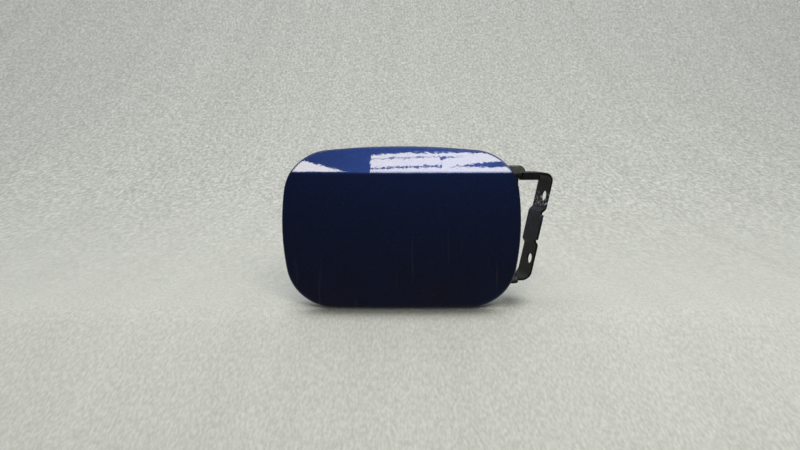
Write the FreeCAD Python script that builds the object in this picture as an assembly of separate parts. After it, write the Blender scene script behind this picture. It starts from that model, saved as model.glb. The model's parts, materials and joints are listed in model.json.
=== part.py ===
# Car fuel filler flap with its hinge strap, closed, upright as on the car.
# Millimetres. X runs towards the hinge, Y goes into the car, Z is up.
# Modelled about the middle of the flap's outline on its outer face; at the end everything is
# moved so that the origin is the middle of the two bolt holes on the strap's mating face.
import math
import os

import FreeCAD
import Part

Vector = FreeCAD.Vector
UP = Vector(0, 0, 1)
BACK = Vector(0, 1, 0)
RIGHT = Vector(1, 0, 0)

# Flap outline and outer form
flap_width = 192.8
flap_height = 131.1
corner_radius = 37.4
side_radius = 205.0
top_radius = 605.0
bottom_radius = 8000.0
crown_radius = 1400.0
crease_drop = 20.7
crease_radius = 3.6
strip_lean = 26.0

# Sheets and the hemmed rim
skin_sheet = 0.8
panel_sheet = 0.7
seam_gap = 0.05
hem_width = 7.0
hem_rounding = 1.1

# Inner panel
plateau_inset = 20.0
plateau_rise = 5.0
wall_draft = 2.5
bead_width = 14.0
bead_depth = 1.6
bead_spread = 34.0
window_radius = 9.0
window_spread = 62.0
pad_radius = 8.0
pad_spread = 50.0
fixing_gap = 2.0

# Pivot
pivot_from_edge = 5.9
pivot_depth = 12.5
pin_radius = 2.5
pin_chamfer = 0.5
running_clearance = 0.05
fixed_clearance = 0.02
end_play = 0.4

# Hinge strap
strap_sheet = 2.0
strap_width = 20.0
ear_top_drop = 21.55
ear_bottom_rise = 19.25
leg_top_reach = 34.5
leg_bottom_reach = 17.3
leg_turn = 14.3
strap_front = 16.0
top_bend = 6.5
bottom_bend = 9.0
jog_depth = 2.5
jog_run = 3.0
jog_bend = 1.4
jog_top_fraction = 0.649
jog_bottom_fraction = 0.352
tab_reach = 3.0
tab_corner = 1.2
eye_radius = 6.5
arm_front = 19.5
upper_arm_end = 12.0
lower_arm_end = 7.0
arm_overlap = 1.5
ear_fillet = 1.5
lip_height = 6.2
lip_gap = 10.5
lip_bend = 1.8
relief_radius = 1.6
bolt_hole_radius = 4.5
bolt_hole_back = 6.6
bolt_top_fraction = 0.783
bolt_bottom_fraction = 0.196

# Bushes and clip
bush_wall = 1.2
bush_head_height = 5.7
bush_head_radius = 4.6
bush_wing_reach = 9.9
bush_wing_front = 1.7
bush_wing_back = 11.5
bush_wing_left = 2.5
bush_chamfer = 2.8
bush_flange_radius = 5.5
bush_flange_height = 1.5
bush_boss_radius = 4.4
bush_boss_height = 2.5
bush_tail = 0.5
clip_radius = 5.0
clip_sheet = 0.8
groove_depth = 0.4
clip_mouth = 3.2
clip_lobe_radius = 0.8
clip_lobe_offset = 2.75
clip_lobe_forward = 0.5

# Flap-side hinge bracket
bracket_sheet = 2.0
bracket_reach = 50.5
bracket_foot = 26.0
bracket_eye_radius = 5.5
bracket_ear_near = 6.0
bracket_ear_root = 4.0
bracket_ear_taper = 2.0
bracket_ear_tail = 4.0
bracket_ear_blend = 12.0
bracket_ear_corner = 2.0
collar_radius = 4.2
collar_depth = 4.5
bracket_window_margin = 14.0
bracket_window_width = 12.0
bracket_window_corner = 4.0

# Torsion spring
wire_radius = 0.7
coil_radius = 4.2
coil_turns = 7
coil_pitch = 2.2
coil_drop = 26.0
spring_leg_back = 9.0

# Latch striker and its rivets
striker_from_edge = 33.0
striker_base_length = 22.0
striker_height = 24.0
striker_sheet = 2.0
striker_reach = 20.0
striker_draft = 3.0
striker_corner = 6.0
lock_hole_radius = 4.0
lock_hole_reach = 13.0
rivet_radius = 2.0
rivet_head_radius = 3.6
rivet_head_height = 1.4
rivet_dome = 1.1
rivet_tail_radius = 3.0
rivet_spread = 14.0
rivet_from_tongue = 13.2

# Rubber buffers
buffer_from_edge = 32.0
buffer_spread = 62.0
buffer_radius = 6.5
buffer_height = 9.0
buffer_neck_radius = 3.5
buffer_barb_radius = 4.6
buffer_barb_height = 2.2
buffer_nose_radius = 2.5
buffer_tip_radius = 5.5
buffer_tip_rounding = 2.5
buffer_foot_rounding = 0.6

# Depths of the sheets behind the outer face
panel_front = skin_sheet + seam_gap
panel_back = panel_front + panel_sheet
hem_front = panel_back + seam_gap
hem_back = hem_front + skin_sheet
plateau_front = panel_front + plateau_rise
plateau_back = plateau_front + panel_sheet
bracket_front = plateau_back + seam_gap
bracket_back = bracket_front + bracket_sheet

# Places that follow from the sizes above
half_width = flap_width / 2
half_height = flap_height / 2
crease_z = half_height - crease_drop
pivot_x = half_width - pivot_from_edge
pivot_y = pivot_depth
ear_top_z = half_height - ear_top_drop
ear_bottom_z = ear_bottom_rise - half_height
leg_top_x = pivot_x + leg_top_reach
leg_bottom_x = pivot_x + leg_bottom_reach
leg_height = ear_top_z - ear_bottom_z
strap_back = strap_front + strap_width
bracket_left = pivot_x - bracket_reach
bracket_right = bracket_left + bracket_foot
turn = math.radians(leg_turn)
lean = math.radians(strip_lean)
bush_hole_radius = pin_radius + running_clearance + bush_wall
upper_bracket_top = ear_top_z - strap_sheet - end_play
lower_bush_top = ear_bottom_z + strap_sheet + bush_flange_height + bush_boss_height
lower_bracket_bottom = lower_bush_top + end_play
clip_bottom = lower_bracket_bottom + bracket_sheet + seam_gap
plateau_middle_z = (crease_z - half_height) / 2 + plateau_inset / 2
buffer_x = buffer_from_edge - half_width
buffer_heights = [plateau_middle_z - buffer_spread / 2, plateau_middle_z + buffer_spread / 2]
pad_x = -buffer_x - buffer_barb_radius - fixing_gap - pad_radius
bead_length = 2 * (pad_x - pad_radius - fixing_gap)
striker_z = plateau_middle_z
tongue_x = striker_from_edge - half_width - striker_sheet
striker_x = tongue_x + rivet_from_tongue
rivet_heights = [striker_z - rivet_spread / 2, striker_z + rivet_spread / 2]

# Sizes of cutters only: how far they reach past the sheet, and how near an edge counts as found
margin = 12.0
block_back = 60.0
overcut = 1.0
near_edge = 0.1


def rounded_edges(points, radii, closed=False):
    """Straight runs joined by tangent arcs; one radius for each corner, 0 keeps it sharp."""
    count = len(points)
    first = 0 if closed else 1
    last = count if closed else count - 1
    starts = list(points)
    ends = list(points)
    arcs = [None] * count
    for i in range(first, last):
        radius = radii[i]
        if radius <= 0:
            continue
        before = (points[i - 1] - points[i]).normalize()
        after = (points[(i + 1) % count] - points[i]).normalize()
        half = before.getAngle(after) / 2
        starts[i] = points[i] + before * (radius / math.tan(half))
        ends[i] = points[i] + after * (radius / math.tan(half))
        inward = (before + after).normalize()
        middle = points[i] + inward * (radius / math.sin(half) - radius)
        arcs[i] = Part.Arc(starts[i], middle, ends[i]).toShape()
    edges = []
    for i in range(count if closed else count - 1):
        if arcs[i] is not None:
            edges.append(arcs[i])
        edges.append(Part.makeLine(ends[i], starts[(i + 1) % count]))
    return edges


def plate(corners, radii, bottom, thickness):
    """Flat horizontal plate from XY corners."""
    points = [Vector(x, y, bottom) for x, y in corners]
    face = Part.Face(Part.Wire(rounded_edges(points, radii, closed=True)))
    return face.extrude(UP * thickness)


def post(x, y, radius, bottom, top):
    """Upright cylinder."""
    return Part.makeCylinder(radius, top - bottom, Vector(x, y, bottom), UP)


def through(x, z, radius):
    """Cylinder along Y that passes through the whole flap."""
    return Part.makeCylinder(radius, block_back + margin, Vector(x, -margin, z), BACK)


def square_to_crown(shape, x, z):
    """Carries a piece built on the Y axis to a place on the flap, square to the crown there."""
    place = Vector(x, face_y(x, z, 0), z)
    inward = (Vector(0, crown_radius, 0) - place).normalize()
    shape.Placement = FreeCAD.Placement(place, FreeCAD.Rotation(BACK, inward))
    return shape


def crown_hole(x, z, radius):
    """Cylinder through the flap, square to the crown."""
    return square_to_crown(through(0, 0, radius), x, z)


def slot_through(length, width, x, z):
    """Round-ended bar along X that passes through the whole flap in Y."""
    straight = length - width
    bar = Part.makeBox(straight, block_back + margin, width, Vector(x - straight / 2, -margin, z - width / 2))
    ends = [through(x - straight / 2, z, width / 2), through(x + straight / 2, z, width / 2)]
    return bar.fuse(ends).removeSplitter()


def outline_prism(inset):
    """The flap's outline, drawn in by an inset and carried through in Y: four wide arcs, round corners."""
    arcs = [
        (half_width - side_radius, 0, side_radius),
        (side_radius - half_width, 0, side_radius),
        (0, half_height - top_radius, top_radius),
        (0, bottom_radius - half_height, bottom_radius),
    ]
    prism = through(*arcs[0][:2], arcs[0][2] - inset)
    for x, z, radius in arcs[1:]:
        prism = prism.common(through(x, z, radius - inset))
    corners = [e for e in prism.Edges if abs(e.BoundBox.YLength - block_back - margin) < 1e-6]
    return prism.makeFillet(corner_radius - inset, corners)


def outline_taper(inset_near, inset_far, far):
    """The outline as a drafted plug: one inset at the flap's face, another at a depth."""
    wires = []
    for inset, y in ((inset_near, 0.0), (inset_far, far)):
        prism = outline_prism(inset)
        front = min(prism.Faces, key=lambda f: f.CenterOfMass.y)
        wire = front.OuterWire.copy()
        wire.translate(BACK * (y + margin))
        wires.append(wire)
    return Part.makeLoft(wires, True, True)


def face_y(x, z, depth):
    """Y of the crowned surface below the crease, at a depth behind the outer face."""
    radius = crown_radius - depth
    return crown_radius - math.sqrt(radius * radius - x * x - z * z)


def behind(depth):
    """All that lies behind the flap's outer form, moved in by a depth."""
    radius = crown_radius - depth
    fold_y = face_y(0, crease_z, 0)
    line_y = fold_y + depth * math.cos(lean) - crown_radius
    line_z = crease_z - depth * math.sin(lean)
    half_b = line_y * math.sin(lean) + line_z * math.cos(lean)
    rest = line_y * line_y + line_z * line_z - radius * radius
    run = -half_b - math.sqrt(half_b * half_b - rest)
    fold = Vector(0, line_y + crown_radius + run * math.sin(lean), line_z + run * math.cos(lean))
    low_z = -half_height - margin
    top_z = half_height + margin
    low = Vector(0, face_y(0, low_z, depth), low_z)
    middle = Vector(0, depth, 0)
    top = Vector(0, fold.y + (top_z - fold.z) * math.tan(lean), top_z)
    corners = [top, Vector(0, block_back, top_z), Vector(0, block_back, low_z), low]
    edges = [Part.Arc(low, middle, fold).toShape(), Part.makeLine(fold, top)]
    edges += [Part.makeLine(a, b) for a, b in zip(corners, corners[1:])]
    half_angle = math.degrees((half_width + margin) / (crown_radius - block_back))
    axis = Vector(0, crown_radius, 0)
    face = Part.Face(Part.Wire(Part.__sortEdges__(edges)))
    face.rotate(axis, UP, -half_angle)
    solid = face.revolve(axis, UP, 2 * half_angle)
    rounding = crease_radius - depth
    if rounding < seam_gap:
        return solid
    crease = [e for e in solid.Edges if e.BoundBox.ZLength < 1e-3 and abs(e.CenterOfMass.z - fold.z) < 1e-3]
    return solid.makeFillet(rounding, crease)


def make_outer_skin():
    """Skin folded round the rim: face, rounded edge and hem flange in one sheet."""
    skin = behind(0).cut(behind(hem_back)).common(outline_prism(0))
    rim = [e for e in skin.Edges if rim_edge(e)]
    skin = skin.makeFillet(hem_rounding, rim)
    slot = behind(skin_sheet).cut(behind(hem_front)).common(outline_prism(skin_sheet))
    opening = behind(hem_front - seam_gap).common(outline_prism(hem_width))
    return skin.cut(slot).cut(opening)


def rim_edge(edge):
    """True for edges that run round the outline, not through the sheet and not along the crease."""
    box = edge.BoundBox
    crossing = edge.Length < 1.5 * hem_back and box.YLength > 0.5 * hem_back
    inner = abs(edge.CenterOfMass.z - crease_z) < 2 * crease_radius and box.XLength > half_width
    return not crossing and not inner


def pressed_form(flange, plateau, inset, bead_inset):
    """All that lies behind one side of the pressed inner panel."""
    plug = outline_taper(inset, inset + wall_draft, plateau_back + margin)
    form = behind(flange).cut(plug).fuse(behind(plateau))
    for side in (-1, 1):
        z = plateau_middle_z + side * bead_spread / 2
        bead = slot_through(bead_length - 2 * bead_inset, bead_width - 2 * bead_inset, 0, z)
        form = form.fuse(behind(plateau - bead_depth).common(bead))
    return form


def make_inner_panel():
    """Pressed panel: flange inside the hem, raised plateau, two beads, windows and holes."""
    front = pressed_form(panel_front, plateau_front, plateau_inset, 0)
    back = pressed_form(panel_back, plateau_back, plateau_inset - panel_sheet, panel_sheet)
    panel = front.cut(back).common(outline_prism(skin_sheet + seam_gap))
    holes = [through(x, plateau_middle_z, window_radius) for x in (-window_spread / 2, window_spread / 2)]
    holes += [crown_hole(buffer_x, z, buffer_neck_radius + fixed_clearance) for z in buffer_heights]
    holes += [crown_hole(striker_x, z, rivet_radius + fixed_clearance) for z in rivet_heights]
    return panel.cut(holes)


def make_anti_flutter_pads():
    """Mastic pads that fill the gap between skin and plateau."""
    gap = behind(panel_front).cut(behind(plateau_front - seam_gap))
    pads = []
    for x in (-pad_x, pad_x):
        for side in (-1, 1):
            z = plateau_middle_z + side * pad_spread / 2
            pads.append(gap.common(through(x, z, pad_radius)))
    return Part.makeCompound([pad.Solids[0] for pad in pads])


def leg_x(fraction):
    """X of the leg's outer face at its front rim; 0 at the lower corner, 1 at the upper one."""
    return leg_bottom_x + fraction * (leg_top_x - leg_bottom_x)


def leg_z(fraction):
    """Height on the leg for the same fraction."""
    return ear_bottom_z + fraction * leg_height


def make_strap_profile():
    """Side profile of the bent sheet: upper arm, slanted leg with its jog, lower arm."""
    half_run = jog_run / 2 / leg_height
    points = [Vector(pivot_x + upper_arm_end, strap_front, ear_top_z), Vector(leg_top_x, strap_front, ear_top_z)]
    radii = [0, top_bend]
    for fraction, inward_first in ((jog_top_fraction, False), (jog_bottom_fraction, True)):
        for step, end in ((half_run, inward_first), (-half_run, not inward_first)):
            place = fraction + step
            shift = jog_depth if end else 0.0
            points.append(Vector(leg_x(place) - shift, strap_front, leg_z(place)))
            radii.append(jog_bend + (0 if end else strap_sheet))
    points.append(Vector(leg_bottom_x, strap_front, ear_bottom_z))
    points.append(Vector(pivot_x + lower_arm_end, strap_front, ear_bottom_z))
    radii += [bottom_bend, 0]
    outer = Part.Wire(rounded_edges(points, radii))
    return outer.makeOffset2D(-strap_sheet, 0, True, True)


def make_ear(bottom, arm_end, front):
    """Hooked end of an arm: eye at the pivot, neck going back, root that overlaps the arm's flat end."""
    left = pivot_x - eye_radius
    right = pivot_x + eye_radius
    root = pivot_x + arm_end + arm_overlap
    root_front = root - (front - strap_front) * math.tan(turn)
    root_back = root - strap_width * math.tan(turn)
    corners = [(left, pivot_y), (left, strap_back), (root_back, strap_back),
               (root_front, front), (right, front), (right, pivot_y)]
    ear = plate(corners, [0, eye_radius, 0, 0, ear_fillet, 0], bottom, strap_sheet)
    return ear.fuse(post(pivot_x, pivot_y, eye_radius, bottom, bottom + strap_sheet))


def make_lip():
    """Front edge of the upper arm turned down as a stiffening lip."""
    left = pivot_x + eye_radius
    length = leg_top_x - lip_gap - left
    low = ear_top_z - lip_height
    points = [
        Vector(left, arm_front, low),
        Vector(left, arm_front, ear_top_z),
        Vector(left, arm_front + 2 * strap_sheet, ear_top_z),
        Vector(left, arm_front + 2 * strap_sheet, ear_top_z - strap_sheet),
        Vector(left, arm_front + strap_sheet, ear_top_z - strap_sheet),
        Vector(left, arm_front + strap_sheet, low),
    ]
    radii = [0, lip_bend, 0, 0, 0, 0]
    return Part.Face(Part.Wire(rounded_edges(points, radii, closed=True))).extrude(RIGHT * length)


def make_leg_tab(profile, carry):
    """The jogged middle of the leg, wider than the rest towards the front."""
    front = strap_front - tab_reach
    low = leg_z(jog_bottom_fraction) + jog_run
    high = leg_z(jog_top_fraction) - jog_run
    slab = Part.makeBox(leg_top_x - pivot_x, tab_reach, high - low, Vector(pivot_x, front, low))
    tab = profile.extrude(carry * (-tab_reach / strap_width)).common(slab)
    corners = [e for e in tab.Edges if e.BoundBox.YMax < front + near_edge and e.BoundBox.ZLength < near_edge]
    return tab.makeFillet(tab_corner, corners)


def make_hinge_strap():
    """One bent sheet: U profile carried back along the leg's turn, tab, ears, lip and holes."""
    profile = make_strap_profile()
    carry = Vector(-strap_width * math.tan(turn), strap_width, 0)
    strap = profile.extrude(carry)
    lip_end = leg_top_x - lip_gap
    trim_corner = Vector(pivot_x, strap_front - margin, ear_top_z - margin)
    trim = Part.makeBox(lip_end - pivot_x, arm_front - strap_front + margin, 2 * margin, trim_corner)
    ears = [make_ear(ear_top_z - strap_sheet, upper_arm_end, arm_front)]
    ears.append(make_ear(ear_bottom_z, lower_arm_end, strap_front))
    strap = strap.cut(trim).fuse(ears + [make_lip(), make_leg_tab(profile, carry)])
    top = ear_top_z + overcut
    wire_fit = wire_radius + running_clearance
    holes = [
        post(lip_end, arm_front, relief_radius, ear_top_z - lip_height - overcut, top),
        post(pivot_x, pivot_y, bush_hole_radius + fixed_clearance, ear_bottom_z - overcut, top),
        post(pivot_x, pivot_y + spring_leg_back, wire_fit, ear_top_z - lip_height, top),
    ]
    for centre in bolt_centres:
        holes.append(Part.makeCylinder(bolt_hole_radius, 2 * margin, centre - bolt_axis * margin, bolt_axis))
    return strap.cut(holes).removeSplitter()


def make_pivot_bush_upper():
    """Plastic bush whose block-shaped head lies on the upper ear."""
    top = ear_top_z + bush_head_height
    shank = post(pivot_x, pivot_y, bush_hole_radius, ear_top_z - strap_sheet, top)
    head = post(pivot_x, pivot_y, bush_head_radius, ear_top_z, top)
    left = pivot_x - bush_wing_left
    wing = Part.makeBox(bush_wing_left + bush_wing_reach, bush_wing_back - bush_wing_front, bush_head_height,
                        Vector(left, pivot_y + bush_wing_front, ear_top_z))
    end = pivot_x + bush_wing_reach
    slope = [e for e in wing.Edges if e.BoundBox.XMin > end - near_edge and e.BoundBox.ZMin > top - near_edge]
    wing = wing.makeChamfer(bush_chamfer, slope)
    bore = post(pivot_x, pivot_y, pin_radius + running_clearance, ear_bottom_z, top + overcut)
    return shank.fuse([head, wing]).cut(bore).removeSplitter()


def make_pivot_bush_lower():
    """Flanged plastic bush, its boss carrying the flap's weight."""
    seat = ear_bottom_z + strap_sheet
    flange_top = seat + bush_flange_height
    shank = post(pivot_x, pivot_y, bush_hole_radius, ear_bottom_z - bush_tail, seat)
    flange = post(pivot_x, pivot_y, bush_flange_radius, seat, flange_top)
    boss = post(pivot_x, pivot_y, bush_boss_radius, flange_top, lower_bush_top)
    bore = post(pivot_x, pivot_y, pin_radius + running_clearance, ear_bottom_z - margin, ear_top_z)
    return shank.fuse([flange, boss]).cut(bore).removeSplitter()


def make_hinge_pin():
    """Plain pin pressed into the bracket's ears, with a clip groove above the lower one."""
    bottom = ear_bottom_z - bush_tail
    top = ear_top_z + bush_head_height - bush_tail
    shank = post(pivot_x, pivot_y, pin_radius, bottom, top)
    shank = shank.makeChamfer(pin_chamfer, [e for e in shank.Edges if e.BoundBox.ZLength < near_edge])
    low = clip_bottom - seam_gap
    high = clip_bottom + clip_sheet + seam_gap
    groove = post(pivot_x, pivot_y, pin_radius + overcut, low, high)
    return shank.cut(groove.cut(post(pivot_x, pivot_y, pin_radius - groove_depth, low, high)))


def make_retaining_clip():
    """Open spring clip in the pin's groove, with two holes for pliers."""
    low = clip_bottom - overcut
    high = clip_bottom + clip_sheet + overcut
    ring = post(pivot_x, pivot_y, clip_radius, clip_bottom, clip_bottom + clip_sheet)
    holes = [post(pivot_x, pivot_y, pin_radius - groove_depth + running_clearance, low, high)]
    mouth_corner = Vector(pivot_x - clip_mouth / 2, pivot_y, low)
    holes.append(Part.makeBox(clip_mouth, 2 * clip_radius, high - low, mouth_corner))
    for x in (pivot_x - clip_lobe_offset, pivot_x + clip_lobe_offset):
        holes.append(post(x, pivot_y - clip_lobe_forward, clip_lobe_radius, low, high))
    return ring.cut(holes)


def make_bracket_ear(bottom):
    """Ear of the flap's bracket, from the web on the plateau to the pin."""
    near = bracket_left + bracket_ear_near
    root = bracket_right - bracket_ear_root
    foot = face_y(root, 0, bracket_back)
    eye_front = pivot_y - bracket_eye_radius
    eye_back = pivot_y + bracket_eye_radius
    root_back = foot + 2 * bracket_eye_radius - bracket_ear_taper
    corners = [(near, 0), (root, 0), (root, foot), (pivot_x, eye_front),
               (pivot_x, eye_back), (root, root_back), (near, foot + bracket_ear_tail)]
    ear = plate(corners, [0, 0, 0, 0, 0, bracket_ear_blend, bracket_ear_corner], bottom, bracket_sheet)
    inside = Part.makeBox(root - near + overcut, block_back, bracket_sheet, Vector(near - overcut, 0, bottom))
    ear = ear.cut(inside.cut(behind(bracket_front)))
    return ear.fuse(post(pivot_x, pivot_y, bracket_eye_radius, bottom, bottom + bracket_sheet))


def make_hinge_bracket():
    """U-shaped bracket on the plateau, its two ears carrying the pin, the upper one with a drawn collar."""
    bottom = lower_bracket_bottom
    height = upper_bracket_top - bottom
    slab = Part.makeBox(bracket_right - bracket_left, block_back, height, Vector(bracket_left, 0, bottom))
    web = behind(bracket_front).cut(behind(bracket_back)).common(slab)
    window_x = (bracket_left + bracket_right - bracket_window_width) / 2
    window = Part.makeBox(bracket_window_width, block_back, height - 2 * bracket_window_margin,
                          Vector(window_x, 0, bottom + bracket_window_margin))
    upright = [e for e in window.Edges if e.BoundBox.YLength > margin]
    window = window.makeFillet(bracket_window_corner, upright)
    upper = upper_bracket_top - bracket_sheet
    collar = post(pivot_x, pivot_y, collar_radius, upper - collar_depth, upper)
    pin_fit = pin_radius + fixed_clearance
    pin_hole = post(pivot_x, pivot_y, pin_fit, bottom - overcut, upper_bracket_top + overcut)
    pieces = [make_bracket_ear(bottom), make_bracket_ear(upper), collar]
    return web.cut(window).fuse(pieces).cut(pin_hole).removeSplitter()


def wire_run(points):
    """Round wire through points, with ball-shaped corners."""
    pieces = [Part.makeSphere(wire_radius, point) for point in points[1:-1]]
    for a, b in zip(points, points[1:]):
        pieces.append(Part.makeCylinder(wire_radius, (b - a).Length, a, b - a))
    return pieces[0].fuse(pieces[1:])


def make_torsion_spring():
    """Close-wound coil round the pin; one leg into the upper ear, one against the web."""
    height = coil_turns * coil_pitch
    top = ear_top_z - coil_drop + height
    bottom = ear_top_z - coil_drop
    helix = Part.makeHelix(coil_pitch, height, coil_radius)
    start = Vector(coil_radius, 0, 0)
    section = Part.Wire(Part.makeCircle(wire_radius, start, BACK))
    coil = Part.Wire(helix).makePipeShell([section], True, True)
    coil.rotate(Vector(0, 0, 0), UP, 90)
    coil.translate(Vector(pivot_x, pivot_y, bottom))
    upper = Vector(pivot_x, pivot_y + coil_radius, top)
    hook = Vector(pivot_x, pivot_y + spring_leg_back, top)
    ear = Vector(pivot_x, pivot_y + spring_leg_back, ear_top_z)
    lower = Vector(pivot_x, pivot_y + coil_radius, bottom)
    foot_x = (bracket_right + bracket_left + bracket_window_width) / 2 + 2 * wire_radius
    foot = Vector(foot_x, face_y(foot_x, bottom, bracket_back) + wire_radius + seam_gap, bottom)
    spring = coil.fuse([Part.makeSphere(wire_radius, upper), Part.makeSphere(wire_radius, lower)])
    leg = Part.makeCylinder(wire_radius, (foot - lower).Length, lower, foot - lower)
    return spring.fuse([wire_run([upper, hook, ear]), leg])


def make_latch_striker():
    """Folded striker: foot on the plateau, tongue going back with the lock pin's hole."""
    low = striker_z - striker_height / 2
    slab = Part.makeBox(striker_base_length, block_back, striker_height, Vector(tongue_x, 0, low))
    foot = behind(bracket_front).cut(behind(bracket_front + striker_sheet)).common(slab)
    root_y = face_y(tongue_x, striker_z, bracket_front)
    high = low + striker_height
    tip_y = root_y + striker_reach
    points = [Vector(tongue_x, root_y, low), Vector(tongue_x, tip_y, low + striker_draft),
              Vector(tongue_x, tip_y, high - striker_draft), Vector(tongue_x, root_y, high)]
    radii = [0, striker_corner, striker_corner, 0]
    tongue = Part.Face(Part.Wire(rounded_edges(points, radii, closed=True))).extrude(RIGHT * striker_sheet)
    tongue = tongue.common(behind(bracket_front))
    lock_start = Vector(tongue_x - margin, root_y + lock_hole_reach, striker_z)
    lock = Part.makeCylinder(lock_hole_radius, 2 * margin, lock_start, RIGHT)
    holes = [crown_hole(striker_x, z, rivet_radius + fixed_clearance) for z in rivet_heights]
    return foot.fuse(tongue).cut([lock] + holes).removeSplitter()


def make_striker_rivets():
    """Two rivets with domed heads behind the foot and flat tails inside the panel."""
    rivets = []
    head_y = bracket_front + striker_sheet + seam_gap
    tail_y = plateau_front - seam_gap
    tail_height = rivet_head_height / 2
    for z in rivet_heights:
        shank = Part.makeCylinder(rivet_radius, head_y - tail_y, Vector(0, tail_y, 0), BACK)
        head = Part.makeCylinder(rivet_head_radius, rivet_head_height, Vector(0, head_y, 0), BACK)
        head = head.makeFillet(rivet_dome, [e for e in head.Edges if e.BoundBox.YMin > head_y + seam_gap])
        tail = Part.makeCylinder(rivet_tail_radius, tail_height, Vector(0, tail_y - tail_height, 0), BACK)
        rivet = shank.fuse([head, tail]).removeSplitter().Solids[0]
        rivets.append(square_to_crown(rivet, striker_x, z))
    return Part.makeCompound(rivets)


def make_buffer(z):
    """Rubber stop: domed head behind the plateau, neck in its hole, barb inside."""
    seat = plateau_back + seam_gap
    inside = plateau_front - seam_gap
    tip = seat + buffer_height
    nose = inside - buffer_barb_height
    outline = [(0, nose), (buffer_nose_radius, nose), (buffer_barb_radius, inside),
               (buffer_neck_radius, inside), (buffer_neck_radius, seat), (buffer_radius, seat),
               (buffer_tip_radius, tip), (0, tip)]
    points = [Vector(r, y, 0) for r, y in outline]
    radii = [0, 0, 0, 0, 0, buffer_foot_rounding, buffer_tip_rounding, 0]
    face = Part.Face(Part.Wire(rounded_edges(points, radii, closed=True)))
    return square_to_crown(face.revolve(Vector(0, 0, 0), BACK, 360), buffer_x, z)


# The leg's plane and its bolt holes
leg_run = Vector(leg_top_x - leg_bottom_x, 0, leg_height).normalize()
leg_across = Vector(-math.sin(turn), math.cos(turn), 0)
bolt_axis = leg_across.cross(leg_run).normalize()
bolt_centres = [Vector(leg_x(f) - bolt_hole_back * math.tan(turn), strap_front + bolt_hole_back, leg_z(f))
                for f in (bolt_top_fraction, bolt_bottom_fraction)]
mount_centre = (bolt_centres[0] + bolt_centres[1]) * 0.5

pieces = {
    "outer_skin": make_outer_skin(),
    "inner_panel": make_inner_panel(),
    "anti_flutter_pads": make_anti_flutter_pads(),
    "hinge_strap": make_hinge_strap(),
    "pivot_bush_upper": make_pivot_bush_upper(),
    "pivot_bush_lower": make_pivot_bush_lower(),
    "hinge_pin": make_hinge_pin(),
    "retaining_clip": make_retaining_clip(),
    "hinge_bracket": make_hinge_bracket(),
    "torsion_spring": make_torsion_spring(),
    "latch_striker": make_latch_striker(),
    "striker_rivets": make_striker_rivets(),
    "buffer_lower": make_buffer(buffer_heights[0]),
    "buffer_upper": make_buffer(buffer_heights[1]),
}

os.makedirs("parts", exist_ok=True)
for name, shape in pieces.items():
    shape.translate(mount_centre * -1)
    shape.exportStep("parts/" + name + ".step")
    box = shape.BoundBox
    print(name, len(shape.Solids), shape.isValid(), round(shape.Volume, 1),
          [round(v, 2) for v in (box.XMin, box.XMax, box.YMin, box.YMax, box.ZMin, box.ZMax)])

pivot = Vector(pivot_x, pivot_y, 0) - mount_centre
lock_y = face_y(tongue_x, striker_z, bracket_front) + lock_hole_reach
print("pivot", pivot, "bolt axis", bolt_axis, "bolt circle", (bolt_centres[0] - bolt_centres[1]).Length)
print("lock hole", Vector(tongue_x, lock_y, striker_z) - mount_centre)
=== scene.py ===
# %% [markdown]
# # A car's fuel filler flap
# The part is a painted steel flap with a sharp crease near its top edge. It hangs on a bent hinge
# strap that bolts to the side of the filler pocket. The solids could be drawn again here, but the
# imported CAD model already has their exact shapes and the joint. So this script loads that model, moves
# nothing, dresses the solids, adds what is too fine or too soft for CAD, and sets lights and camera.

import json
import math

import bmesh
import bpy
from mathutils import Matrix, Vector
from mathutils.bvhtree import BVHTree


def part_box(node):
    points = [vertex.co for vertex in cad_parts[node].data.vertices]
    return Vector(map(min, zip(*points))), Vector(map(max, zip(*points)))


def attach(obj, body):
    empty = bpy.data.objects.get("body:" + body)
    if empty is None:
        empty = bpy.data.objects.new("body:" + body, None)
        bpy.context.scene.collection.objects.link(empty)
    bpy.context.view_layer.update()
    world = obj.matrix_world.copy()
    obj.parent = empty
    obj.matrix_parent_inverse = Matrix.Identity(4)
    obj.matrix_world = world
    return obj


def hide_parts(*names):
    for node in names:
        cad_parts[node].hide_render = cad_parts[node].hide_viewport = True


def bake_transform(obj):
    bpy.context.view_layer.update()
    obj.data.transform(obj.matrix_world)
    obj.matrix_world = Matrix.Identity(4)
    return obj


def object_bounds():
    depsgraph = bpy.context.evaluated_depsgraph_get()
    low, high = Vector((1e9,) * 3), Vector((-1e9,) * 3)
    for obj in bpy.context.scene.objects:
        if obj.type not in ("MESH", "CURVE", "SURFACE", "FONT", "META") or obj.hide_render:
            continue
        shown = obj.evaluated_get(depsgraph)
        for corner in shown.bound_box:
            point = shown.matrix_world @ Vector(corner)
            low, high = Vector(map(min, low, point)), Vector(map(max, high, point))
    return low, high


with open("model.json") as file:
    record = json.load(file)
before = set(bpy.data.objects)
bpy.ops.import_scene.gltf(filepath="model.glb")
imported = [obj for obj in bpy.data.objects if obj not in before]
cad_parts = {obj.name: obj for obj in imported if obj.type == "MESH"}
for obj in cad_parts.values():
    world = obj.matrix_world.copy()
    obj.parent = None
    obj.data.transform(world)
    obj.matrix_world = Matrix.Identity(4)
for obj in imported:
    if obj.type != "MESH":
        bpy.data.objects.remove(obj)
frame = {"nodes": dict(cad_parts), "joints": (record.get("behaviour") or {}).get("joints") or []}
cad_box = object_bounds()
scene = bpy.context.scene
MM = 0.001
print("CAD box in mm:", [round(v / MM, 1) for corner in cad_box for v in corner])

# %% [markdown]
# ## Where things are
# The frame's origin lies between the strap's bolt holes. Places could be typed in from the drawing,
# but they would be wrong after its next change. So the flap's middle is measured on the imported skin,
# and the hinge axis is read from the joint.

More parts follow.
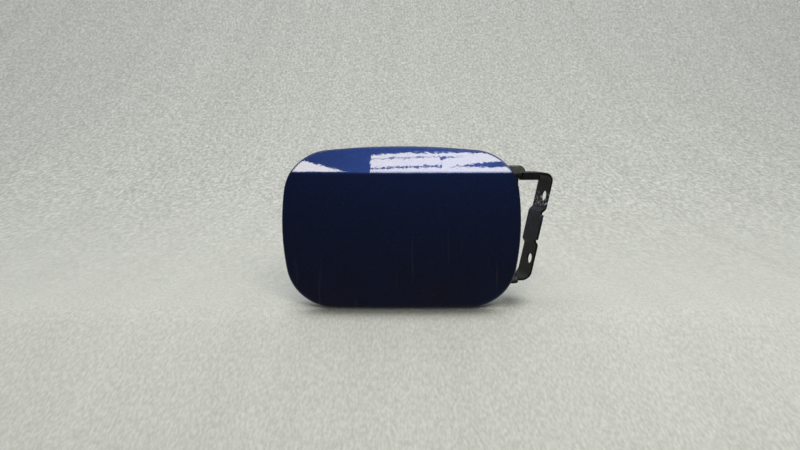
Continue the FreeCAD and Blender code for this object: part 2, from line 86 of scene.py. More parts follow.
# %% Flap middle and hinge axis
skin_low, skin_high = [Vector(corner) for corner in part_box("outer_skin")]
half_width = (skin_high.x - skin_low.x) / 2
half_height = (skin_high.z - skin_low.z) / 2
middle = Vector(((skin_low.x + skin_high.x) / 2, skin_low.y, (skin_low.z + skin_high.z) / 2))
hinge = Vector(frame["joints"][0]["pos_m"])
print("flap", round(2 * half_width / MM, 1), "x", round(2 * half_height / MM, 1), "mm")

# %% [markdown]
# ## Helpers for materials
# Colours are written as the sRGB hex that a colour picker shows, but shaders count in linear light,
# so one function turns them. A material could be clicked together in the node editor. In a script, one
# small function that adds a node, sets its values and links its inputs is enough. Patterns lie on
# Object coordinates, which are in metres here, so that they stay on the part when it moves.


# %% Colour and node helpers
def linear(hex_colour):
    """Linear RGBA from an sRGB hex string."""
    channels = [int(hex_colour[i:i + 2], 16) / 255 for i in (0, 2, 4)]
    return [c / 12.92 if c <= 0.04045 else ((c + 0.055) / 1.055) ** 2.4 for c in channels] + [1.0]


def add(tree, kind, values=(), stops=(), **settings):
    """Adds a node and gives its outputs. Values are constants or sockets to link; stops fill a ramp."""
    node = tree.nodes.new(kind)
    for key, value in settings.items():
        setattr(node, key, value)
    for key, value in dict(values).items():
        if isinstance(value, bpy.types.NodeSocket):
            tree.links.new(value, node.inputs[key])
        else:
            node.inputs[key].default_value = value
    for index, (place, hex_colour) in enumerate(stops):
        elements = node.color_ramp.elements
        element = elements[index] if index < len(elements) else elements.new(place)
        element.position, element.color = place, linear(hex_colour)
    return node.outputs


def new_finish(name):
    """An empty material, with its node tree."""
    material = bpy.data.materials.new(name)
    material.use_nodes = True
    material.node_tree.nodes.clear()
    return material, material.node_tree


PER_MM = 1 / MM  # a noise Scale of PER_MM / 5 has a grain of 5 mm

# %% [markdown]
# ## Navy metallic paint
# Car paint is a thin blue base coat full of fine aluminium flakes under a thick clear lacquer. The
# flakes lie flat, so the colour flares up only near the direction of a mirror: the strip that faces
# the windows glows blue while the upright face is almost black. One glossy blue would miss that, so
# a metallic base lies under the shader's own coat. The coat gives sharp reflections, with a slow ripple
# called orange peel. A purplish film in clouds is a painted reflection of the dim room, and as painted
# shade it darkens the blue towards the bottom. There are specks of dust and faint pale upright streaks.


# %% Height over the flap's middle
def height_mask(tree, zero_mm, one_mm):
    """A mask that goes from 0 at one height over the flap's middle to 1 at another."""
    place = add(tree, "ShaderNodeTexCoord")["Object"]
    height = add(tree, "ShaderNodeSeparateXYZ", {0: place})["Z"]
    ends = {"From Min": middle.z + zero_mm * MM, "From Max": middle.z + one_mm * MM}
    return add(tree, "ShaderNodeMapRange", {"Value": height, **ends})["Result"]


# %% Navy paint
def make_navy_paint():
    """Flaky base coat under lacquer, with orange peel, painted reflection and shade, dust and pale streaks.
    """
    material, tree = new_finish("navy_metallic_lacquer")
    place = add(tree, "ShaderNodeTexCoord")["Object"]
    # Real flakes are 0.02 mm; they are drawn coarser so that they show as a faint sparkle.
    flake = add(tree, "ShaderNodeTexVoronoi", {"Vector": place, "Scale": PER_MM / 0.4})["Color"]
    flake_tones = [(0.0, "0d1e49"), (0.6, "112556"), (0.95, "18316a"), (1.0, "345086")]
    blue = add(tree, "ShaderNodeValToRGB", {"Fac": flake}, flake_tones)["Color"]
    # Painted reflection of the dim room in purplish clouds of about 30 mm, thickening downwards as painted
    # shade.
    cloud = add(tree, "ShaderNodeTexNoise", {"Vector": place, "Scale": PER_MM / 30, "Detail": 4.0})["Fac"]
    cloud = add(tree, "ShaderNodeMapRange", {"Value": cloud, "To Min": 0.3})["Result"]
    painted_reflection_and_shade = {0: cloud, 1: height_mask(tree, 40, -50)}
    painted_reflection_and_shade = add(tree, "ShaderNodeMath", painted_reflection_and_shade, operation="MULTIPLY")[0]
    blue_with_painted_reflection = {"Fac": painted_reflection_and_shade, "Color1": blue, "Color2": linear("17131c")}
    blue_with_painted_reflection = add(tree, "ShaderNodeMixRGB", blue_with_painted_reflection)["Color"]
    # Faint pale streaks are 5 mm wide and far longer, and only the lower half has them.
    drawn = add(tree, "ShaderNodeMapping", {"Vector": place, "Scale": (1, 1, 0.06)})[0]
    pale_streaks = add(tree, "ShaderNodeTexNoise", {"Vector": drawn, "Scale": PER_MM / 5, "Detail": 2.0})["Fac"]
    faint = {"Value": pale_streaks, "From Min": 0.64, "From Max": 0.74, "To Max": 0.15}
    pale_streaks = add(tree, "ShaderNodeMapRange", faint)[0]
    pale_streaks = add(tree, "ShaderNodeMath", {0: pale_streaks, 1: height_mask(tree, 5, -30)}, operation="MULTIPLY")[0]
    dust = add(tree, "ShaderNodeTexNoise", {"Vector": place, "Scale": PER_MM / 1.3, "Detail": 1.0})["Fac"]
    sparse = {"Value": dust, "From Min": 0.72, "From Max": 0.78, "To Max": 0.2}
    dust = add(tree, "ShaderNodeMapRange", sparse)[0]
    marks = add(tree, "ShaderNodeMath", {0: pale_streaks, 1: dust}, operation="MAXIMUM")[0]
    dust_and_streaks = {"Fac": marks, "Color1": blue_with_painted_reflection, "Color2": linear("6d6f78")}
    dust_and_streaks = add(tree, "ShaderNodeMixRGB", dust_and_streaks)["Color"]
    fine = add(tree, "ShaderNodeTexNoise", {"Vector": place, "Scale": PER_MM / 0.5, "Detail": 1.0})["Fac"]
    ripple = add(tree, "ShaderNodeTexNoise", {"Vector": place, "Scale": PER_MM / 3.4, "Detail": 1.0})["Fac"]
    # Lacquer flows round sharp edges: the crease and the hem's rim look softer than the sheet below.
    soft = add(tree, "ShaderNodeBevel", {"Radius": 1.8 * MM}, samples=6)[0]
    peel = {"Height": ripple, "Distance": 0.007 * MM, "Normal": soft}
    lacquer = {
        "Base Color": dust_and_streaks,
        "Metallic": 0.9,
        "Roughness": add(tree, "ShaderNodeMapRange", {"Value": fine, "To Min": 0.36, "To Max": 0.46})[0],
        "Normal": add(tree, "ShaderNodeBump", {"Height": fine, "Distance": 0.01 * MM, "Normal": soft})[0],
        "Coat Weight": 1.0,
        "Coat IOR": 1.5,
        "Coat Roughness": 0.02,
        "Coat Normal": add(tree, "ShaderNodeBump", peel)[0],
    }
    shader = add(tree, "ShaderNodeBsdfPrincipled", lacquer)[0]
    add(tree, "ShaderNodeOutputMaterial", {"Surface": shader})
    return material


navy_paint = make_navy_paint()
print("made", navy_paint.name)


# %% [markdown]
# ## Dip-coated steel
# Strap and bracket are pressed from steel sheet and dipped in black primer. The coat pulls thin on cut
# edges and wears there, so edges catch the light. The wear could be painted on by hand; the Bevel node
# finds edges by itself, because its normal differs from the true one only there, and it rounds them for
# the light as well. The strap was on the car when the flap was sprayed, so the middle of its leg carries
# some body colour as dry overspray, and pale grey patches lie just above it.


# %% Worn edges
def worn_edges(tree, radius_mm):
    """A normal with rounded edges, and a mask that is 1 along those edges."""
    soft = add(tree, "ShaderNodeBevel", {"Radius": radius_mm * MM}, samples=6)[0]
    sharp = add(tree, "ShaderNodeNewGeometry")["Normal"]
    same = add(tree, "ShaderNodeVectorMath", {0: soft, 1: sharp}, operation="DOT_PRODUCT")["Value"]
    edge = add(tree, "ShaderNodeMapRange", {"Value": same, "From Min": 0.98, "From Max": 0.80})[0]
    return soft, edge


# %% Dip coat
def make_dip_coat(name, dark, pale, edge_tone, roughness, marks):
    """Satin coat with a fine grain and worn edges; marks is how strong overspray and pale patches are."""
    material, tree = new_finish(name)
    place = add(tree, "ShaderNodeTexCoord")["Object"]
    soft, edge = worn_edges(tree, 0.5)
    cloud = add(tree, "ShaderNodeTexNoise", {"Vector": place, "Scale": PER_MM / 11, "Detail": 4.0})["Fac"]
    grain = add(tree, "ShaderNodeTexNoise", {"Vector": place, "Scale": PER_MM / 0.8, "Detail": 3.0})["Fac"]
    coat = add(tree, "ShaderNodeValToRGB", {"Fac": cloud}, [(0.3, dark), (0.75, pale)])["Color"]
    patchy = {"Value": grain, "From Min": 0.35, "From Max": 0.6, "To Min": 0.2, "To Max": 0.9}
    patchy = add(tree, "ShaderNodeMapRange", patchy)[0]
    wear = add(tree, "ShaderNodeMath", {0: edge, 1: patchy}, operation="MULTIPLY")[0]
    worn = {"Fac": wear, "Color1": coat, "Color2": linear(edge_tone)}
    worn = add(tree, "ShaderNodeMixRGB", worn)["Color"]
    # Overspray lies on the jogged middle of the leg, in drops of 0.7 mm that gather in patches.
    drops = add(tree, "ShaderNodeTexNoise", {"Vector": place, "Scale": PER_MM / 0.7, "Detail": 2.0})["Fac"]
    drops = add(tree, "ShaderNodeMapRange", {"Value": drops, "From Min": 0.5, "From Max": 0.62})[0]
    patch = add(tree, "ShaderNodeTexNoise", {"Vector": place, "Scale": PER_MM / 6, "Detail": 2.0})["Fac"]
    patch = add(tree, "ShaderNodeMapRange", {"Value": patch, "From Min": 0.4, "From Max": 0.6})[0]
    spray = add(tree, "ShaderNodeMath", {0: drops, 1: patch}, operation="MULTIPLY")[0]
    # Pale grey patches, about 2 mm across, show just over the jog.
    pale_patches = add(tree, "ShaderNodeTexNoise", {"Vector": place, "Scale": PER_MM / 2.2, "Detail": 3.0})["Fac"]
    pale_patches = add(tree, "ShaderNodeMapRange", {"Value": pale_patches, "From Min": 0.54, "From Max": 0.60})[0]
    tone = worn
    layers = [(spray, "45487c", ((-14, 4), (30, 16))), (pale_patches, "a6a6a3", ((15, 18), (28, 24)))]
    for mask, colour, heights in layers:
        for zero_mm, one_mm in heights:
            mask = {0: mask, 1: height_mask(tree, zero_mm, one_mm)}
            mask = add(tree, "ShaderNodeMath", mask, operation="MULTIPLY")[0]
        mask = add(tree, "ShaderNodeMapRange", {"Value": mask, "To Max": marks})[0]
        tone = {"Fac": mask, "Color1": tone, "Color2": linear(colour)}
        tone = add(tree, "ShaderNodeMixRGB", tone)["Color"]
    low, high = roughness
    satin = {
        "Base Color": tone,
        "IOR": 1.45,
        "Specular IOR Level": 0.2,
        "Roughness": add(tree, "ShaderNodeMapRange", {"Value": cloud, "To Min": low, "To Max": high})[0],
        "Normal": add(tree, "ShaderNodeBump", {"Height": grain, "Distance": 0.03 * MM, "Normal": soft})[0],
    }
    shader = add(tree, "ShaderNodeBsdfPrincipled", satin)[0]
    add(tree, "ShaderNodeOutputMaterial", {"Surface": shader})
    return material


strap_coat = make_dip_coat("satin_black_dip_coat", "0a0b0c", "161718", "686a6c", (0.42, 0.62), 0.8)
bracket_coat = make_dip_coat("black_primer_on_bracket", "15161a", "212329", "4c4e55", (0.40, 0.60), 0.0)
print("made", strap_coat.name, "and", bracket_coat.name)


# %% [markdown]
# ## Inner panel paint
# Inside, the flap gets primer and one thin, uneven coat of the body colour without lacquer. So it is
# flatter and greyer than outside, and thin on the edges of the pressing. The same edge mask as on the
# strap lets the primer show through there.


# %% Inner panel paint
def make_panel_paint():
    """Thin satin body colour that fades to primer."""
    material, tree = new_finish("thin_navy_over_primer")
    place = add(tree, "ShaderNodeTexCoord")["Object"]
    soft, edge = worn_edges(tree, 0.6)
    cloud = add(tree, "ShaderNodeTexNoise", {"Vector": place, "Scale": PER_MM / 35, "Detail": 4.0})["Fac"]
    grain = add(tree, "ShaderNodeTexNoise", {"Vector": place, "Scale": PER_MM / 1.0, "Detail": 2.0})["Fac"]
    paint_tones = [(0.25, "141d4a"), (0.55, "1b2555"), (0.8, "2f3860")]
    paint = add(tree, "ShaderNodeValToRGB", {"Fac": cloud}, paint_tones)["Color"]
    thin = add(tree, "ShaderNodeMapRange", {"Value": edge, "To Max": 0.5})[0]
    bare = {"Fac": thin, "Color1": paint, "Color2": linear("5a5f70")}
    satin = {
        "Base Color": add(tree, "ShaderNodeMixRGB", bare)["Color"],
        "Metallic": 0.3,
        "Roughness": add(tree, "ShaderNodeMapRange", {"Value": cloud, "To Min": 0.38, "To Max": 0.58})[0],
        "Normal": add(tree, "ShaderNodeBump", {"Height": grain, "Distance": 0.03 * MM, "Normal": soft})[0],
        "Coat Weight": 0.2,
        "Coat Roughness": 0.3,
    }
    shader = add(tree, "ShaderNodeBsdfPrincipled", satin)[0]
    add(tree, "ShaderNodeOutputMaterial", {"Surface": shader})
    return material


panel_paint = make_panel_paint()
print("made", panel_paint.name)


# %% [markdown]
# ## Plastics and rubber
# The bush is moulded grey acetal: matt and slightly waxy, with a fine spark-eroded grain. Buffers are
# black rubber with a dusty bloom. The pads between the sheets and the bead along the hem are mastic,
# squeezed on by a nozzle and baked. All three are a moulded skin that differs in tone, gloss and grain,
# so one function with those as its values makes them.


# %% Acetal, rubber and mastic
def make_moulded(name, dark, pale, roughness, grain_mm, depth_mm):
    """Moulded material: slow change of tone, fine grain, eased edges."""
    material, tree = new_finish(name)
    place = add(tree, "ShaderNodeTexCoord")["Object"]
    soft, edge = worn_edges(tree, 0.4)
    slow = add(tree, "ShaderNodeTexNoise", {"Vector": place, "Scale": PER_MM / 7, "Detail": 4.0})["Fac"]
    grain = {"Vector": place, "Scale": PER_MM / grain_mm, "Detail": 3.0}
    grain = add(tree, "ShaderNodeTexNoise", grain)["Fac"]
    tone = add(tree, "ShaderNodeValToRGB", {"Fac": slow}, [(0.3, dark), (0.7, pale)])["Color"]
    rubbed = add(tree, "ShaderNodeMapRange", {"Value": edge, "To Max": 0.35})[0]
    rubbed = {"Fac": rubbed, "Color1": tone, "Color2": linear("8a8a86")}
    low, high = roughness
    relief = {"Height": grain, "Distance": depth_mm * MM, "Normal": soft}
    skin = {
        "Base Color": add(tree, "ShaderNodeMixRGB", rubbed)["Color"],
        "IOR": 1.48,
        "Roughness": add(tree, "ShaderNodeMapRange", {"Value": grain, "To Min": low, "To Max": high})[0],
        "Normal": add(tree, "ShaderNodeBump", relief)[0],
    }
    shader = add(tree, "ShaderNodeBsdfPrincipled", skin)[0]
    add(tree, "ShaderNodeOutputMaterial", {"Surface": shader})
    return material


bush_acetal = make_moulded("moulded_grey_acetal", "464847", "555755", (0.42, 0.60), 0.5, 0.03)
stop_rubber = make_moulded("moulded_black_rubber", "161617", "262627", (0.62, 0.85), 0.8, 0.05)
mastic = make_moulded("baked_mastic", "3a3733", "4a4640", (0.65, 0.9), 1.5, 0.2)
print("made", bush_acetal.name, stop_rubber.name, mastic.name)


# %% [markdown]
# ## Plated steel and wire
# Pin, clip, rivets and striker are zinc plated: bright, slightly clouded, with fine drawing lines. The
# spring is oiled dark wire, drawn through a die. A noise that is stretched along Z gives the lines, and
# drives both gloss and relief, so that they belong together.


# %% Zinc plate and spring wire
def make_plated(name, dark, pale, roughness):
    """Plated metal: drawn lines in roughness and relief, slow clouding, bright edges."""
    material, tree = new_finish(name)
    place = add(tree, "ShaderNodeTexCoord")["Object"]
    soft, edge = worn_edges(tree, 0.3)
    drawn = add(tree, "ShaderNodeMapping", {"Vector": place, "Scale": (1, 1, 0.12)})[0]
    lines = add(tree, "ShaderNodeTexNoise", {"Vector": drawn, "Scale": PER_MM / 0.6, "Detail": 3.0})["Fac"]
    cloud = add(tree, "ShaderNodeTexNoise", {"Vector": place, "Scale": PER_MM / 5, "Detail": 3.0})["Fac"]
    plate = add(tree, "ShaderNodeValToRGB", {"Fac": cloud}, [(0.3, dark), (0.7, pale)])["Color"]
    bright = add(tree, "ShaderNodeMapRange", {"Value": edge, "To Max": 0.5})[0]
    polished = {"Fac": bright, "Color1": plate, "Color2": linear("d8d8d4")}
    low, high = roughness
    metal = {
        "Base Color": add(tree, "ShaderNodeMixRGB", polished)["Color"],
        "Metallic": 1.0,
        "Roughness": add(tree, "ShaderNodeMapRange", {"Value": lines, "To Min": low, "To Max": high})[0],
        "Normal": add(tree, "ShaderNodeBump", {"Height": lines, "Distance": 0.01 * MM, "Normal": soft})[0],
    }
    shader = add(tree, "ShaderNodeBsdfPrincipled", metal)[0]
    add(tree, "ShaderNodeOutputMaterial", {"Surface": shader})
    return material


zinc_plate = make_plated("bright_zinc_plate", "a5a49d", "c2c1bc", (0.20, 0.38))
spring_wire = make_plated("oiled_spring_wire", "3d3b38", "5a5854", (0.28, 0.45))
print("made", zinc_plate.name, "and", spring_wire.name)

# %% [markdown]
# ## Dressing the solids
# Every solid of the CAD model is a node with a material slot. A list of finishes with the nodes that
# wear them is easier to read and to change than one line for each node.

# %% Dress the CAD nodes
finishes = {
    navy_paint: ["outer_skin"],
    panel_paint: ["inner_panel"],
    mastic: ["anti_flutter_pads"],
    strap_coat: ["hinge_strap"],
    bracket_coat: ["hinge_bracket"],
    bush_acetal: ["pivot_bush_upper", "pivot_bush_lower"],
    zinc_plate: ["hinge_pin", "retaining_clip", "latch_striker", "striker_rivets"],
    spring_wire: ["torsion_spring"],
    stop_rubber: ["buffer_lower", "buffer_upper"],
}
for material, names in finishes.items():
    for name in names:
        frame["nodes"][name].data.materials.clear()
        frame["nodes"][name].data.materials.append(material)
    print(material.name, "on", names)

# %% [markdown]
# ## Wires and beads that follow a path
# The closing spring and the sealer along the hem are both round sections carried along a path. A
# bevelled curve could make either, but Geometry Nodes also let the section swell and thin as a bead
# does. The path comes in as a chain of edges, is sampled evenly, and a circle is swept along it.


# %% Sweep tree
def make_sweep_tree():
    """Geometry Nodes: path to round bar, with named inputs for its sizes and finish."""
    tree = bpy.data.node_groups.new("round_bar_on_path", "GeometryNodeTree")
    face = tree.interface
    face.new_socket("Geometry", in_out="INPUT", socket_type="NodeSocketGeometry")
    for name in ("Radius", "Step", "Unevenness"):
        face.new_socket(name, in_out="INPUT", socket_type="NodeSocketFloat")
    face.new_socket("Finish", in_out="INPUT", socket_type="NodeSocketMaterial")
    face.new_socket("Geometry", in_out="OUTPUT", socket_type="NodeSocketGeometry")
    given = add(tree, "NodeGroupInput")
    curve = add(tree, "GeometryNodeMeshToCurve", {"Mesh": given["Geometry"]})[0]
    sampled = {"Curve": curve, "Length": given["Step"]}
    even = add(tree, "GeometryNodeResampleCurve", sampled, mode="LENGTH")[0]
    # A bead swells and thins over about 9 mm; a drawn wire has no unevenness.
    wave = add(tree, "ShaderNodeTexNoise", {"Scale": PER_MM / 9, "Detail": 1.0})["Fac"]
    swing = add(tree, "ShaderNodeMath", {0: wave, 1: 0.5}, operation="SUBTRACT")[0]
    swell = {0: swing, 1: given["Unevenness"], 2: 1.0}
    swell = add(tree, "ShaderNodeMath", swell, operation="MULTIPLY_ADD")[0]
    ring = add(tree, "GeometryNodeCurvePrimitiveCircle", {"Resolution": 12, "Radius": given["Radius"]})[0]
    swept = {"Curve": even, "Profile Curve": ring, "Scale": swell, "Fill Caps": True}
    bar = add(tree, "GeometryNodeCurveToMesh", swept)[0]
    smooth = add(tree, "GeometryNodeSetShadeSmooth", {"Geometry": bar})[0]
    whole = add(tree, "GeometryNodeRealizeInstances", {"Geometry": smooth})[0]
    done = add(tree, "GeometryNodeSetMaterial", {"Geometry": whole, "Material": given["Finish"]})[0]
    add(tree, "NodeGroupOutput", {0: done})
    return tree


sweep_tree = make_sweep_tree()


# %% Growing a piece from a chain of points
def grow(name, points, closed, tree, inputs):
    """Runs a tree on a chain of points and gives the result as a plain mesh object."""
    chain = bpy.data.meshes.new(name + "_path")
    count = len(points)
    edges = [(i, (i + 1) % count) for i in range(count if closed else count - 1)]
    chain.from_pydata(points, edges, [])
    path = bpy.data.objects.new(name + "_path", chain)
    scene.collection.objects.link(path)
    modifier = path.modifiers.new("grow", "NODES")
    modifier.node_group = tree
    sockets = {item.name: item.identifier for item in tree.interface.items_tree if item.in_out == "INPUT"}
    for key, value in inputs.items():
        modifier[sockets[key]] = value
    evaluated = path.evaluated_get(bpy.context.evaluated_depsgraph_get())
    mesh = bpy.data.meshes.new_from_object(evaluated)
    mesh.name = name
    path.modifiers.clear()
    bpy.data.objects.remove(path)
    piece = bpy.data.objects.new(name, mesh)
    scene.collection.objects.link(piece)
    print(name, len(mesh.polygons), "faces")
    return piece


# %% [markdown]
# ## Closing spring
# A torsion spring sits round the pin. Its upper leg hooks into the strap's ear, its lower leg lies on
# the flap's bracket, and the coil winds up as the flap opens. The CAD spring is rigid; it is hidden and
# replaced by a swept wire. The lower leg's end is found by a ray, so that it lies on the bracket.

# %% Where the lower leg rests
spring_low, spring_high = [Vector(corner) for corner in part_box("torsion_spring")]
wire = 0.7 * MM
coil_radius = 4.2 * MM
coil_turns = 7
coil_pitch = 2.2 * MM
coil_low = spring_low.z + wire
coil_high = coil_low + coil_turns * coil_pitch
leg_reach = 30.1 * MM
axis = Vector((hinge.x, hinge.y, 0))
graph = bpy.context.evaluated_depsgraph_get()
bracket_tree = BVHTree.FromObject(frame["nodes"]["hinge_bracket"], graph)
forwards = Vector((0, -1, 0))
behind = cad_box[1].y + 50 * MM  # rays start here, clear of the part
foot = bracket_tree.ray_cast(Vector((hinge.x - leg_reach, behind, coil_low)), forwards)[0]
foot += Vector((0, wire, 0))
print("spring leg rests at", [round(v / MM, 1) for v in foot])

# %% Closing spring
leg_back = 9.0 * MM
leg_bend = 1.4 * MM
bend_start = leg_back - leg_bend
leg_steps, turn_steps, neck_steps, bend_steps = 7, 24, 3, 6
coil_start = axis + Vector((0, coil_radius, coil_low))
spring_path = [foot.lerp(coil_start, step / leg_steps) for step in range(leg_steps)]
coil_steps = turn_steps * coil_turns
for step in range(coil_steps + 1):
    angle = math.radians(90) + math.tau * coil_turns * step / coil_steps
    rise = coil_low + (coil_high - coil_low) * step / coil_steps
    around = Vector((math.cos(angle), math.sin(angle), 0)) * coil_radius
    spring_path.append(axis + around + Vector((0, 0, rise)))
for step in range(1, neck_steps + 1):
    neck = coil_radius + (bend_start - coil_radius) * step / neck_steps
    spring_path.append(axis + Vector((0, neck, coil_high)))
for step in range(1, bend_steps + 1):
    angle = math.radians(90 * step / bend_steps)
    out, up = leg_bend * math.sin(angle), leg_bend * (1 - math.cos(angle))
    spring_path.append(axis + Vector((0, bend_start + out, coil_high + up)))
spring_path.append(axis + Vector((0, leg_back, spring_high.z)))
wire_inputs = {"Radius": wire, "Step": 0.7 * MM, "Unevenness": 0.0, "Finish": spring_wire}
spring = grow("closing_spring", spring_path, False, sweep_tree, wire_inputs)
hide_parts("torsion_spring")
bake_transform(spring)

# %% [markdown]
# ## Hem sealer
# The skin's edge is folded over the inner panel. A bead of sealer closes that seam against water, laid
# by a robot along the cut edge of the hem, a little uneven. Its path could be picked from the panel's
# mesh, but loose triangles have no clean edge loop. So the flap's outline is drawn again, in by the
# hem's width: four wide arcs joined by round corners, and then dropped onto the panel by rays.

# %% Outline of the flap
side_radius, top_radius, bottom_radius, corner_radius = 205 * MM, 605 * MM, 8000 * MM, 37.4 * MM
wide_arcs = {
    "right": (Vector((half_width - side_radius, 0)), side_radius),
    "top": (Vector((0, half_height - top_radius)), top_radius),
    "left": (Vector((side_radius - half_width, 0)), side_radius),
    "bottom": (Vector((0, bottom_radius - half_height)), bottom_radius),
}


def corner_arc(first, second, inset, steps=12):
    """Points of the round corner between two wide arcs; X and Z from the flap's middle."""
    (a, a_radius), (b, b_radius) = wide_arcs[first], wide_arcs[second]
    a_radius, b_radius = a_radius - corner_radius, b_radius - corner_radius
    gap = (b - a).length
    along = (b - a) / gap
    foot = (a_radius ** 2 - b_radius ** 2 + gap ** 2) / (2 * gap)
    lift = math.sqrt(a_radius ** 2 - foot ** 2)
    crossings = [a + along * foot + Vector((-along.y, along.x)) * lift * sign for sign in (-1, 1)]
    wanted = Vector((1 if "right" in (first, second) else -1, 1 if "top" in (first, second) else -1))
    centre = max(crossings, key=wanted.dot)
    start = math.atan2((centre - a).y, (centre - a).x)
    sweep = (math.atan2((centre - b).y, (centre - b).x) - start + math.pi) % math.tau - math.pi
    angles = [start + sweep * step / steps for step in range(steps + 1)]
    return [centre + Vector((math.cos(t), math.sin(t))) * (corner_radius - inset) for t in angles]


def outline(inset, spacing):
    """Points round the flap's outline, drawn in by an inset and evenly spaced."""
    order = ["bottom", "right", "top", "left", "bottom"]
    corners = [point for pair in zip(order, order[1:]) for point in corner_arc(*pair, inset)]
    points = []
    for a, b in zip(corners, corners[1:] + corners[:1]):
        count = max(1, round((b - a).length / spacing))
        points += [a.lerp(b, step / count) for step in range(count)]
    return points


# %% Hem sealer
hem_width = 7.5 * MM
point_spacing = 3.0 * MM
bead_radius = 0.95 * MM
bead_lift = 0.25 * MM
panel_tree = BVHTree.FromObject(frame["nodes"]["inner_panel"], graph)
sealer_path = []
for point in outline(hem_width, point_spacing):
    above = Vector((middle.x + point.x, behind, middle.z + point.y))
    hit = panel_tree.ray_cast(above, forwards)[0]
    sealer_path.append(hit + Vector((0, bead_lift, 0)))
bead_inputs = {"Radius": bead_radius, "Step": 1.5 * MM, "Unevenness": 0.5, "Finish": mastic}
sealer = grow("hem_sealer", sealer_path, True, sweep_tree, bead_inputs)
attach(sealer, "flap")

# %% [markdown]
# ## Spot welds
# The bracket is spot welded to the inner panel. Each weld leaves a shallow round print with a raised
# rim, pressed by the electrode. A bump map would vanish at the outline, and six copies by hand would be
# hard to move, so a tree makes one rim and sets it on a list of points on the bracket.


# %% Weld tree
def make_weld_tree():
    """Geometry Nodes: a print of the electrode on each point, facing backwards."""
    tree = bpy.data.node_groups.new("spot_weld_prints", "GeometryNodeTree")
    face = tree.interface
    face.new_socket("Geometry", in_out="INPUT", socket_type="NodeSocketGeometry")
    for name in ("Print Radius", "Rim Radius"):
        face.new_socket(name, in_out="INPUT", socket_type="NodeSocketFloat")
    face.new_socket("Finish", in_out="INPUT", socket_type="NodeSocketMaterial")
    face.new_socket("Geometry", in_out="OUTPUT", socket_type="NodeSocketGeometry")
    given = add(tree, "NodeGroupInput")
    rim_path = {"Resolution": 28, "Radius": given["Print Radius"]}
    rim_path = add(tree, "GeometryNodeCurvePrimitiveCircle", rim_path)[0]
    rim_ring = {"Resolution": 8, "Radius": given["Rim Radius"]}
    rim_ring = add(tree, "GeometryNodeCurvePrimitiveCircle", rim_ring)[0]
    rim = add(tree, "GeometryNodeCurveToMesh", {"Curve": rim_path, "Profile Curve": rim_ring})[0]
    upright = add(tree, "GeometryNodeTransform", {"Geometry": rim, "Rotation": (math.radians(90), 0, 0)})[0]
    points = add(tree, "GeometryNodeMeshToPoints", {"Mesh": given["Geometry"]})[0]
    prints = add(tree, "GeometryNodeInstanceOnPoints", {"Points": points, "Instance": upright})[0]
    smooth = add(tree, "GeometryNodeSetShadeSmooth", {"Geometry": prints})[0]
    whole = add(tree, "GeometryNodeRealizeInstances", {"Geometry": smooth})[0]
    done = add(tree, "GeometryNodeSetMaterial", {"Geometry": whole, "Material": given["Finish"]})[0]
    add(tree, "NodeGroupOutput", {0: done})
    return tree


# %% Spot welds
bracket_low, bracket_high = [Vector(corner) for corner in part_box("hinge_bracket")]
web_middle = bracket_low.x + 13 * MM
weld_columns = (-9.5 * MM, 9.5 * MM)  # from the web's middle
weld_rows = (0.22, 0.5, 0.78)  # shares of the bracket's height
weld_points = []
for across in weld_columns:
    for share in weld_rows:
        height = bracket_low.z + (bracket_high.z - bracket_low.z) * share
        start = Vector((web_middle + across, behind, height))
        weld_points.append(bracket_tree.ray_cast(start, forwards)[0])
weld_inputs = {"Print Radius": 2.4 * MM, "Rim Radius": 0.3 * MM, "Finish": bracket_coat}
welds = grow("spot_weld_prints", weld_points, False, make_weld_tree(), weld_inputs)
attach(welds, "flap")

# %% [markdown]
# ## Camera
# The photograph was taken by hand from a little above the flap's middle, about half a metre away, with
# a wide lens: near edges spread, and the strap behind the flap is drawn in. The focal length is worked
# out in pixels of an 800 pixel wide image, because that is how it was fitted.

# %% Camera
elevation = math.radians(9.0)
distance = 465 * MM
focal_pixels, image_pixels = 582, 800
towards = Vector((0, math.cos(elevation), -math.sin(elevation)))
aim = middle + Vector((-1.26, 0, 3.39)) * MM
camera_data = bpy.data.cameras.new("camera")
camera_data.sensor_width = 36.0
camera_data.lens = focal_pixels / image_pixels * camera_data.sensor_width
camera_data.clip_start = 0.01
camera = bpy.data.objects.new("camera", camera_data)
camera.location = aim - towards * distance
camera.rotation_euler = towards.to_track_quat("-Z", "Y").to_euler()
scene.collection.objects.link(camera)
scene.camera = camera
print("lens", round(camera_data.lens, 1), "mm")

# %% [markdown]
# ## Floor and backdrop
# One pale sheet makes floor and backdrop. A flat floor would show upside down in the upright lacquer, so
# the sheet falls away in front of the flap, as over a table's edge, and the face stays dark. Behind, it
# rises in one wide curve without a corner. It is vinyl with a marbled speckle, and faint upright bands of
# painted shade in its colour stand in for folds. The photograph has a dark line of shade at the part's
# foot, which lamps as wide as these leave pale. A smaller lamp would cast hard shadows elsewhere, so a
# painted contact shadow darkens the vinyl's colour where the part is very close.


